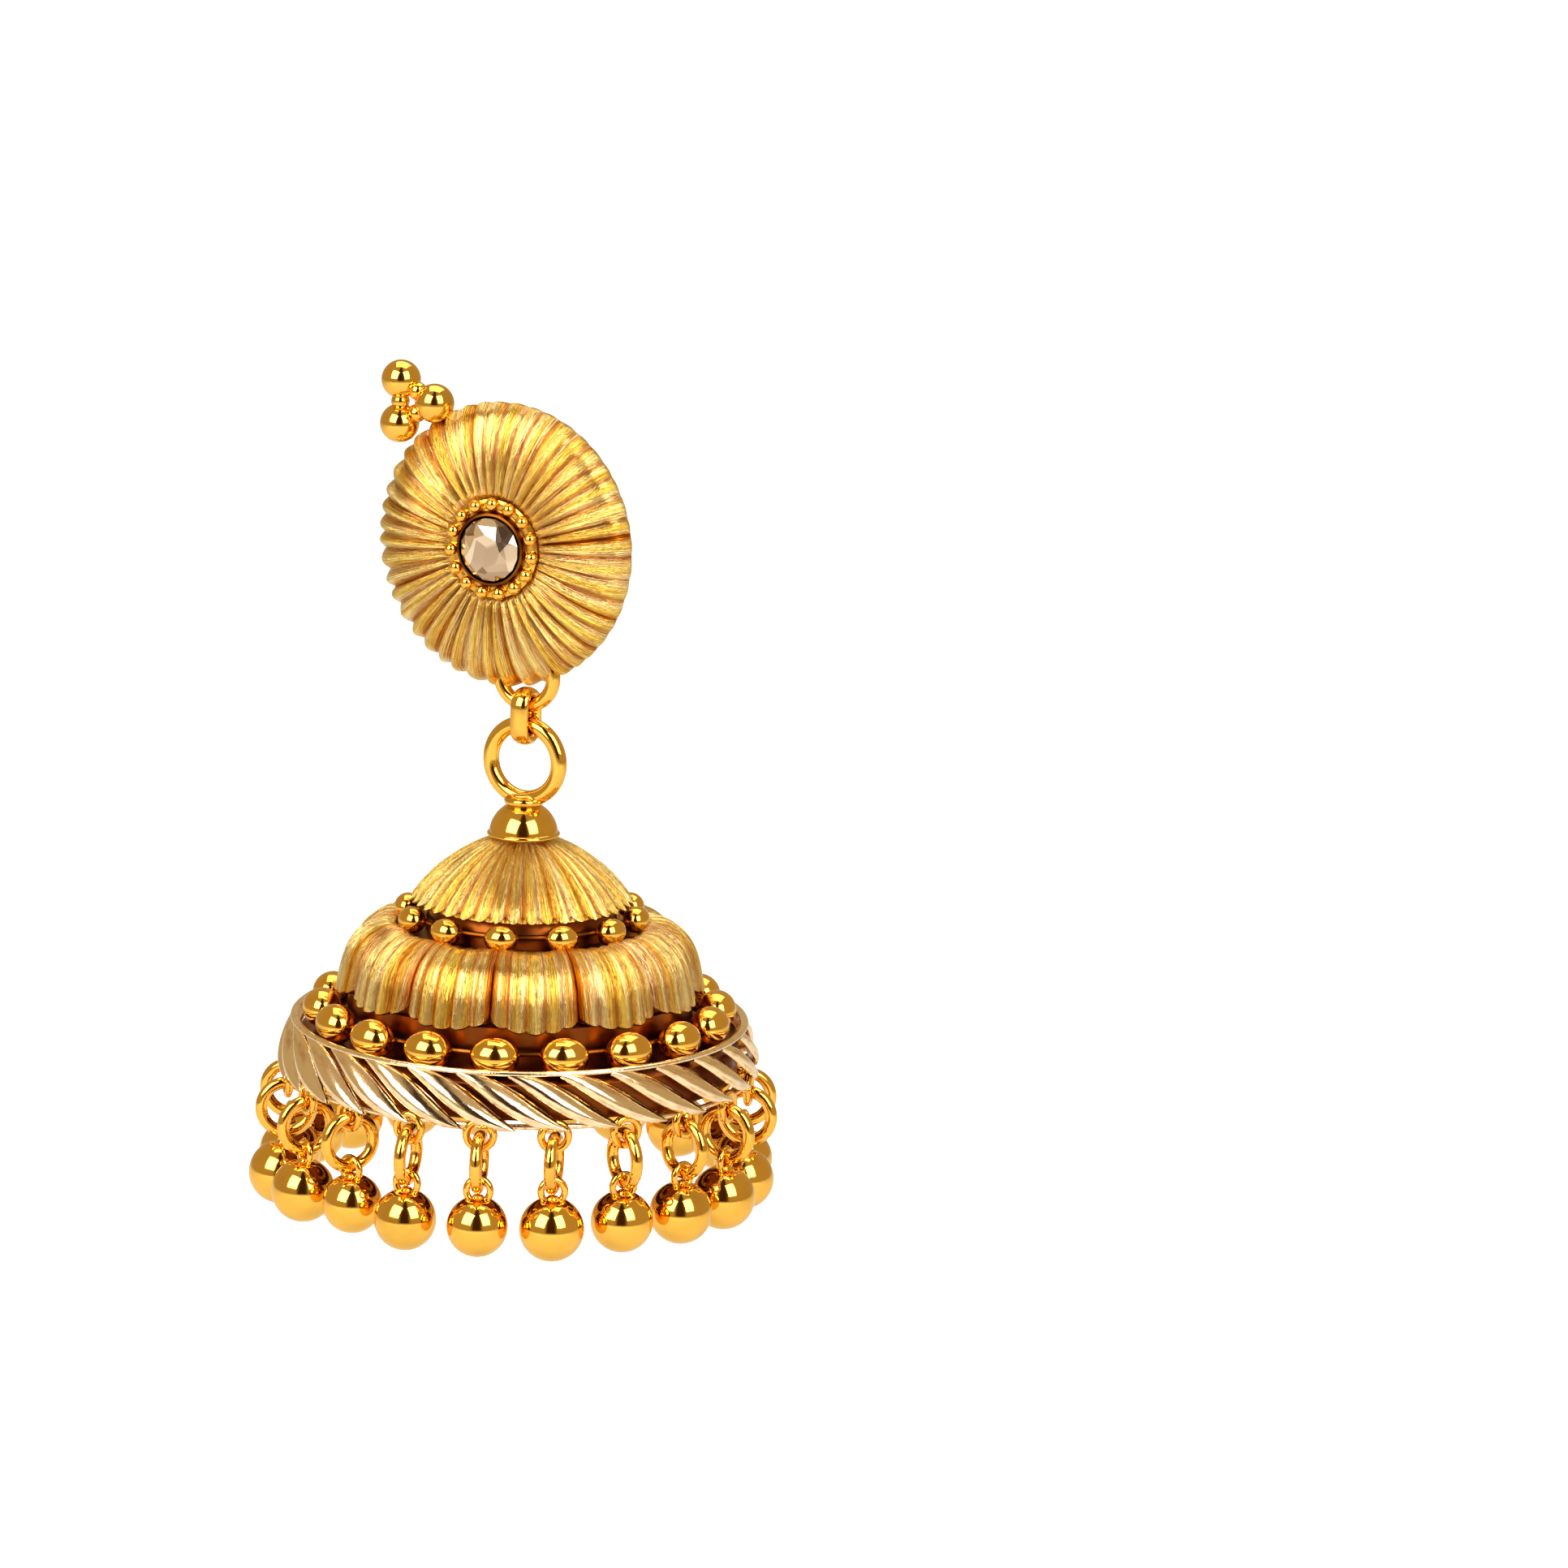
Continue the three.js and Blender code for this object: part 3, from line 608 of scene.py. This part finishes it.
def upper_dome():
    """Fluted dome with a wall: the outer rows carry the flutes, which deepen downwards and end in small
    scallops."""
    outer = curve([(1.7, -0.1), (3.2, -0.83), (4.6, -1.82), (5.55, -2.76), (6.24, -3.65)], 40)
    foot = curve([(6.1, -3.73), (5.7, -3.65), (5.35, -3.45)], 5)
    section = joined([(0.6, -0.1)], outer, foot, [(4.0, -2.25), (0.6, -0.8)])
    fluted = len(outer) + 1
    share = np.zeros(len(section))
    share[1 : fluted + 1] = np.linspace(0.15, 1, fluted)
    inside = np.arange(len(section)) > fluted + 3
    columns = UPPER_FLUTES * PLEAT_COLUMNS
    depth = pleats(np.arange(columns) / columns * TAU, UPPER_FLUTES, FLUTE_UNEVEN)

    def press(rows, angle):
        """A flute's depth goes by a power of the row's share, and its foot lifts by a higher power."""
        return -FLUTE_DEPTH * share[:, None] ** 0.7 * depth, FLUTE_SCALLOP * (share**6)[:, None] * depth

    def recess(rows, angle):
        """Painted shade: the pleat's depth to a power, and 1 inside the wall."""
        return np.clip((share**0.3)[:, None] * depth**VALLEY_SHADE_POWER + inside[:, None], 0, 1)

    return on_bell(turned(section, columns, press, UPPER_FLUTES, recess, close_rows=True))


def lower_dome():
    """Lobed dome with a wall. Each lobe swells between two notches as a power of a sine, has its own
    ribs, and its lower corners are rounded upwards."""
    channel = [(6.8, -5.45), (7.1, -5.05), (7.6, -4.85)]
    outer = curve(channel + [(8.4, -5.02), (9.35, -5.77), (9.95, -6.95), (10.35, -8.8)], 56)
    foot = curve([(10.22, -8.9), (9.8, -8.85), (9.3, -8.6)], 6)
    section = joined(outer, foot, [(8.5, -6.95), (7.4, -6.05), (6.6, -5.9)])
    rows_out = len(outer)
    down = np.concatenate([np.linspace(0, 1, rows_out), np.ones(4), np.zeros(len(section) - rows_out - 4)])
    inside = np.arange(len(section)) > rows_out + 3
    columns = LOBES * LOBE_COLUMNS
    angle = np.arange(columns) / columns * TAU
    place = (angle / TAU * LOBES) % 1
    swell = np.sin(np.pi * place) ** LOBE_POWER
    ribs = np.abs(2 * ((place * RIBS) % 1) - 1) ** RIB_POWER
    shoulder = rise_between(down, 0.0, 0.3)

    def press(rows, angle):
        """The radius loses what the lobe doesn't swell, and the ribs; corners and ribs lift at the foot."""
        notch = (1 - swell) * (0.25 + 0.75 * shoulder)[:, None] * np.where(inside, 0.3, 1)[:, None]
        rib = RIB_DEPTH * ribs * shoulder[:, None] * ~inside[:, None]
        lift = (LOBE_CORNER * (1 - swell) + RIB_SCALLOP * ribs) * (down**5)[:, None]
        return -NOTCH_DEPTH * notch - rib, lift

    def recess(rows, angle):
        """Painted shade: notches and ribs to a power from the shoulder down, and 1 inside the wall."""
        valley_shade = 0.95 * (1 - swell) ** 0.7 + 0.8 * ribs**1.4
        return np.clip(np.where(inside[:, None], 1, shoulder[:, None] * valley_shade), 0, 1)

    made = turned(section, columns, press, LOBES * RIBS, recess, close_rows=True)
    return on_bell(moved(made, turn=LOBE_TURN))


def bell_core():
    """The drum under the upper dome, and the neck behind the lower beads with the ledge that
    carries them and the skirt behind the leaves, all dark with painted shade: two sections turned round the
    bell's axis."""
    drum = [(0.6, -3.75), (5.1, -3.75), (5.2, -3.85), (5.35, -5.3), (6.9, -5.38)]
    drum += [(7.0, -5.6), (4.8, -5.75), (4.6, -4.35), (0.6, -4.35)]
    neck = [(9.2, -8.5), (9.6, -8.7), (9.6, -11.12), (12.1, -11.15), (12.2, -11.22)]
    neck += [(12.2, -13.15), (11.85, -13.2), (11.8, -11.55), (9.15, -11.55)]
    return [on_bell(turned(rows, 96, close_rows=True)) for rows in (drum, neck)]


def bead_row(beads, start=0.0):
    """Long beads on a circle, and a thin wire ring behind them, dark with painted shade."""
    one = bead(beads["radius"], BEAD_STRETCH, 40, 21)
    strung = around(beads["count"], lambda i: moved(one, (0, -beads["circle"], 0)), start)
    behind = beads["circle"] - 0.75 * beads["radius"]
    a = np.arange(8) / 8 * TAU
    wire = np.stack([behind + BEAD_WIRE * np.cos(a), BEAD_WIRE * np.sin(a)], -1)

    def recess(rows, angle):
        """1 all over: the wire is painted dark, as shade behind the beads."""
        return np.ones((len(rows), len(angle)))

    # the wire ring, in full painted shade
    dark = turned(wire, 120, close_rows=True, recess=recess)
    return [on_bell(part, beads["drop"]) for part in strung + [dark]]


def band_radius(drop):
    """The band leans outwards a little as it goes down."""
    return BAND["radius"] + BAND["lean"] * (drop - BAND["top"])


def leaf():
    """One leaf of the band. Its middle runs down an S from the upper rim to a tip at the lower edge.
    Its width is a power of a sine along it, fullest past its middle, over a stem that thins out. Its
    section is a pillow with a crease, twisted so that its lower edge stands out from the band."""
    rows, columns = 44, 24
    along = np.linspace(0, 1, rows)
    a = np.arange(columns) / columns * TAU
    belly = np.sin(np.pi * along ** LEAF_WIDTH["lean"])
    width = LEAF_WIDTH["stem"] * (1 - along) ** 2 + LEAF_WIDTH["full"] * belly ** LEAF_WIDTH["power"]
    slope = LEAF_BEND * (3 * along**2 - 2 * along**3) + (1 - LEAF_BEND) * along
    middle_x = LEAF_SPAN["run"] * (along - 0.5)
    middle_drop = LEAF_SPAN["top"] + LEAF_SPAN["fall"] * slope
    tilt = np.arctan2(np.gradient(middle_drop), np.gradient(middle_x))
    t = np.cos(a)[None] * width[:, None]
    crease = np.abs(np.cos(a))[None] ** 1.5
    depth = np.where(np.sin(a) > 0, LEAF_DEPTH["front"], LEAF_DEPTH["back"])[None]
    full = (LEAF_DEPTH["ends"] + (1 - LEAF_DEPTH["ends"]) * belly)[:, None]
    thick = depth * np.sin(a)[None] * (1 - LEAF_DEPTH["crease"] * crease) * full
    x = middle_x[:, None] + t * np.sin(tilt)[:, None]
    drop = np.clip(middle_drop[:, None] - t * np.cos(tilt)[:, None], *LEAF_EDGES)
    out = band_radius(drop) + thick - LEAF_DEPTH["twist"] * t * full
    angle = x / LEAF_CIRCLE
    points = np.stack([out * np.sin(angle), -out * np.cos(angle), -drop], -1)
    # painted shade on the back half of the leaf, which faces into the bell
    recess = np.clip(-np.sin(a), 0, 1)[None] * np.ones((rows, 1))
    grain = (np.arange(columns + 1) / columns * 2.4, np.arange(rows + 1) * 0.14)
    return quads(points, False, True, grain, recess)


def band_rims():
    """Rounded rims, as ellipses carried round the bell: one above the leaves, and a thinner one behind
    their tips that carries the eyelets."""
    a = np.arange(16) / 16 * TAU

    def ellipse(circle, drop, wide, high):
        """Section of a rim: its radius is circle + wide cos a, its height high sin a - drop."""
        return np.stack([circle + wide * np.cos(a), high * np.sin(a) - drop], -1)

    return [turned(ellipse(**rim), 240, close_rows=True) for rim in BAND_RIMS]


def eyelets():
    """Round wire loops that face outwards at the band's foot."""
    one = loop(circle(EYELET["radius"], 40), (0, 1, 0), EYELET["wire"], EYELET["wire"], 12)
    placed = around(DROPS, lambda i: moved(one, (0, -FRINGE_CIRCLE, 0)))
    return [on_bell(part, EYELET["drop"]) for part in placed]


HANG_DROP = EYELET["drop"] + EYELET["radius"]
SWAY_ALONG = np.radians(rng.uniform(-SWAY_ALONG_LIMIT, SWAY_ALONG_LIMIT, DROPS))
SWAY_OUT = np.radians(rng.uniform(-SWAY_OUT_LIMIT, SWAY_OUT_LIMIT, DROPS))
BALL_FULLNESS = rng.uniform(1 - BALL_UNEVEN, 1 + BALL_UNEVEN, DROPS)


def swayed(surface, i, drop):
    """A hung piece whose middle lies at the given drop, turned on its eyelet's foot by two small
    angles: first along the band, as x cos a + z sin a, then out from it in the same way with y."""
    x, y, z = np.moveaxis(surface["points"] - (0, 0, drop - HANG_DROP), -1, 0)
    along, out = SWAY_ALONG[i], SWAY_OUT[i]
    x, z = x * np.cos(along) + z * np.sin(along), z * np.cos(along) - x * np.sin(along)
    y, z = y * np.cos(out) - z * np.sin(out), z * np.cos(out) + y * np.sin(out)
    return {**surface, "points": np.stack([x, y, z], -1) + (0, 0, drop - HANG_DROP)}


def jump_rings():
    """Round wire rings across the eyelets, each turned a little on its own upright axis and swayed."""
    wire, drop = JUMP_RING["wire"], JUMP_RING["drop"]
    one = loop(circle(JUMP_RING["radius"], 48)[:, [1, 0, 2]], (1, 0, 0), wire, wire, 16)
    twist = np.radians(rng.uniform(-RING_TWIST, RING_TWIST, DROPS))
    hung = around(DROPS, lambda i: moved(swayed(moved(one, turn=twist[i]), i, drop), (0, -FRINGE_CIRCLE, 0)))
    return [on_bell(part, drop) for part in hung]


def balls():
    """Balls whose crown draws up into a short neck, with a wire eye on top. Each is drawn larger or
    smaller from its eye, and sways with its jump ring."""
    t = np.radians(np.linspace(-90, 62, 30))
    radius = BALL["radius"]
    globe = radius * np.stack([np.cos(t), np.sin(t)], -1)
    neck = curve([globe[-1], (0.42, 1.58), (0.26, 1.78), (0, 1.86)], 10)
    body = turned(joined(globe, neck[1:]), 48)
    eye_middle = np.array((0, 0, BALL["eye_rise"]))
    eye = moved(loop(circle(BALL["eye"], 32), (0, 1, 0), BALL["eye_wire"], BALL["eye_wire"], 12), eye_middle)
    drop = CAP_FOOT - BALL_FOOT - radius

    def full(i):
        """The ball scaled from its eye by its own fullness."""
        return {**body, "points": (body["points"] - eye_middle) * BALL_FULLNESS[i] + eye_middle}

    parts = around(DROPS, lambda i: moved(swayed(full(i), i, drop), (0, -FRINGE_CIRCLE, 0)))
    parts += around(DROPS, lambda i: moved(swayed(eye, i, drop), (0, -FRINGE_CIRCLE, 0)))
    return [on_bell(part, drop) for part in parts]


FRINGE = range(1, DROPS + 1)
piece("upper_dome", [upper_dome()], "drop", FLUTED, ["upper_tier"])
small_beads = bead_row(UPPER_BEADS, LOBE_TURN / TAU * UPPER_BEADS["count"])
piece("upper_beads", small_beads, "drop", POLISHED, ["upper_bead_ring"])
piece("lower_dome", [lower_dome()], "drop", FLUTED, ["lower_tier"])
piece("bell_core", bell_core(), "drop", PAINTED_SHADE_GOLD, ["lower_tier"])
piece("lower_beads", bead_row(LOWER_BEADS), "drop", POLISHED, ["lower_bead_ring"])
band = [on_bell(part) for part in around(LEAVES, lambda i: leaf()) + band_rims()]
piece("leaf_band_cut", band, "drop", LEAF, ["leaf_band"])
piece("band_eyelets", eyelets(), "drop", POLISHED, ["leaf_band"])
piece("jump_rings", jump_rings(), "drop", POLISHED, [f"jump_ring_{i:02d}" for i in FRINGE])
piece("fringe_balls", balls(), "drop", POLISHED, [f"ball_drop_{i:02d}" for i in FRINGE])

# Studio and camera

FRAME_PIXELS = 1932
PIXEL = 0.045  # millimetres of the object for one pixel of the frame
AZIMUTH, ELEVATION, ROLL = np.radians((25, 12.5, 1.6))
DISTANCE = 420.0
CAP_PIXEL = (645, 1028)  # where the frame shows the centre of the cap's foot
SENSOR = 36.0
NEAREST, FARTHEST = 0.01, 20.0  # metres that the camera sees between
LIGHT_DISTANCE = 300.0
FLOOR_RADIUS, FLOOR_GAP = 1500.0, 22.0
FLOOR_GLOW = (0.14, 0.9)  # for light that falls on the earring, and for the camera
STRIP_EDGES = (0.2, 0.48)  # bearings from the camera's, in radians, between which the room turns pale
ROOM_DARK, ROOM_PALE = (0.05, 0.022, 0.012, 1), (0.5, 0.37, 0.2, 1)
BELL_MIDDLE = np.array([*BELL_AXIS, CAP_FOOT])


def studio_camera():
    """A long lens that sets the cap's foot on its pixel: the camera stands back from it along the view
    and is moved sideways and up by the pixel's distance from the frame's centre."""
    ca, sa, ce, se = np.cos(AZIMUTH), np.sin(AZIMUTH), np.cos(ELEVATION), np.sin(ELEVATION)
    back = np.array([sa * ce, -ca * ce, se])
    right = np.array([ca, sa, 0])
    up = np.cross(back, right)
    across = right * np.cos(ROLL) + up * np.sin(ROLL)
    above = up * np.cos(ROLL) - right * np.sin(ROLL)
    x, y = (np.array(CAP_PIXEL) - FRAME_PIXELS / 2) * PIXEL
    place = BELL_MIDDLE + back * DISTANCE - across * x + above * y
    lens = bpy.data.cameras.new("studio_camera")
    lens.sensor_width = SENSOR
    lens.lens = SENSOR * DISTANCE / (FRAME_PIXELS * PIXEL)
    lens.clip_start, lens.clip_end = NEAREST, FARTHEST
    made = bpy.data.objects.new("studio_camera", lens)
    turn = Matrix(np.stack([across, above, back], -1).tolist()).to_4x4()
    made.matrix_world = Matrix.Translation(Vector(place * MM)) @ turn
    bpy.context.collection.objects.link(made)
    bpy.context.scene.camera = made


def softbox(name, side, height, size, glow):
    """A rectangular light that faces the bell. side and height are its angles from the camera's bearing
    and from the horizontal, in degrees; size is in millimetres and glow is how bright its face is."""
    turn, lift = AZIMUTH + np.radians(side), np.radians(height)
    towards = np.array([np.sin(turn) * np.cos(lift), -np.cos(turn) * np.cos(lift), np.sin(lift)])
    lamp = bpy.data.lights.new(name, "AREA")
    lamp.shape, lamp.size, lamp.size_y = "RECTANGLE", size[0] * MM, size[1] * MM
    lamp.energy = glow * np.pi * lamp.size * lamp.size_y
    made = bpy.data.objects.new(name, lamp)
    stand = Matrix.Translation(Vector((BELL_MIDDLE + towards * LIGHT_DISTANCE) * MM))
    made.matrix_world = stand @ Vector(-towards).to_track_quat("-Z", "Y").to_matrix().to_4x4()
    bpy.context.collection.objects.link(made)


def pale_floor():
    """A round floor below the earring, as a flat line turned round Z. The camera sees it white; it
    lights the earring less strongly than that."""
    disc = turned([(0.0, 0.0), (FLOOR_RADIUS, 0.0)], 64)
    mesh = bpy.data.meshes.new("pale_floor")
    mesh.from_pydata((disc["points"] + (0, 0, BALL_FOOT - FLOOR_GAP)) * MM, [], disc["faces"])
    white = bpy.data.materials.new("pale_floor")
    white.use_nodes = True
    tree = white.node_tree
    shader = tree.nodes["Principled BSDF"]
    shader.inputs["Base Color"].default_value = (0.6, 0.6, 0.6, 1)
    shader.inputs["Roughness"].default_value = 0.9
    shader.inputs["Specular IOR Level"].default_value = 0.0
    shader.inputs["Emission Color"].default_value = (1, 1, 1, 1)
    rays = add_node(tree, "ShaderNodeLightPath")
    glow = step_between(tree, rays.outputs["Is Camera Ray"], (0.0, 1.0), reach=FLOOR_GLOW)
    tree.links.new(glow, shader.inputs["Emission Strength"])
    mesh.materials.append(white)
    floor = bpy.data.objects.new("pale_floor", mesh)
    bpy.context.collection.objects.link(floor)


def studio_world():
    """A pale room with a dark strip behind the camera: the bearing of a direction, measured from the
    camera's, goes from dark to pale between two angles."""
    world = bpy.data.worlds.new("studio")
    world.use_nodes = True
    tree = world.node_tree
    sight = add_node(tree, "ShaderNodeTexCoord").outputs["Generated"]
    dot = {"operation": "DOT_PRODUCT"}
    forward, sideways = (np.sin(AZIMUTH), -np.cos(AZIMUTH), 0), (np.cos(AZIMUTH), np.sin(AZIMUTH), 0)
    ahead = add_node(tree, "ShaderNodeVectorMath", dot, in0=sight, in1=forward).outputs["Value"]
    aside = add_node(tree, "ShaderNodeVectorMath", dot, in0=sight, in1=sideways).outputs["Value"]
    bearing = maths(tree, "ABSOLUTE", in0=maths(tree, "ARCTAN2", in0=aside, in1=ahead))
    room = step_between(tree, bearing, STRIP_EDGES, "SMOOTHSTEP")
    tone = blend_of(tree, room, ROOM_DARK, ROOM_PALE)
    tree.links.new(tone, tree.nodes["Background"].inputs["Color"])
    bpy.context.scene.world = world


studio_camera()
pale_floor()
studio_world()
softbox("left_softbox", side=-42, height=34, size=(200, 230), glow=6.0)
softbox("right_softbox", side=38, height=34, size=(160, 230), glow=6.0)
softbox("overhead_softbox", side=170, height=72, size=(260, 260), glow=2.0)
bpy.context.scene.view_settings.view_transform = "Standard"
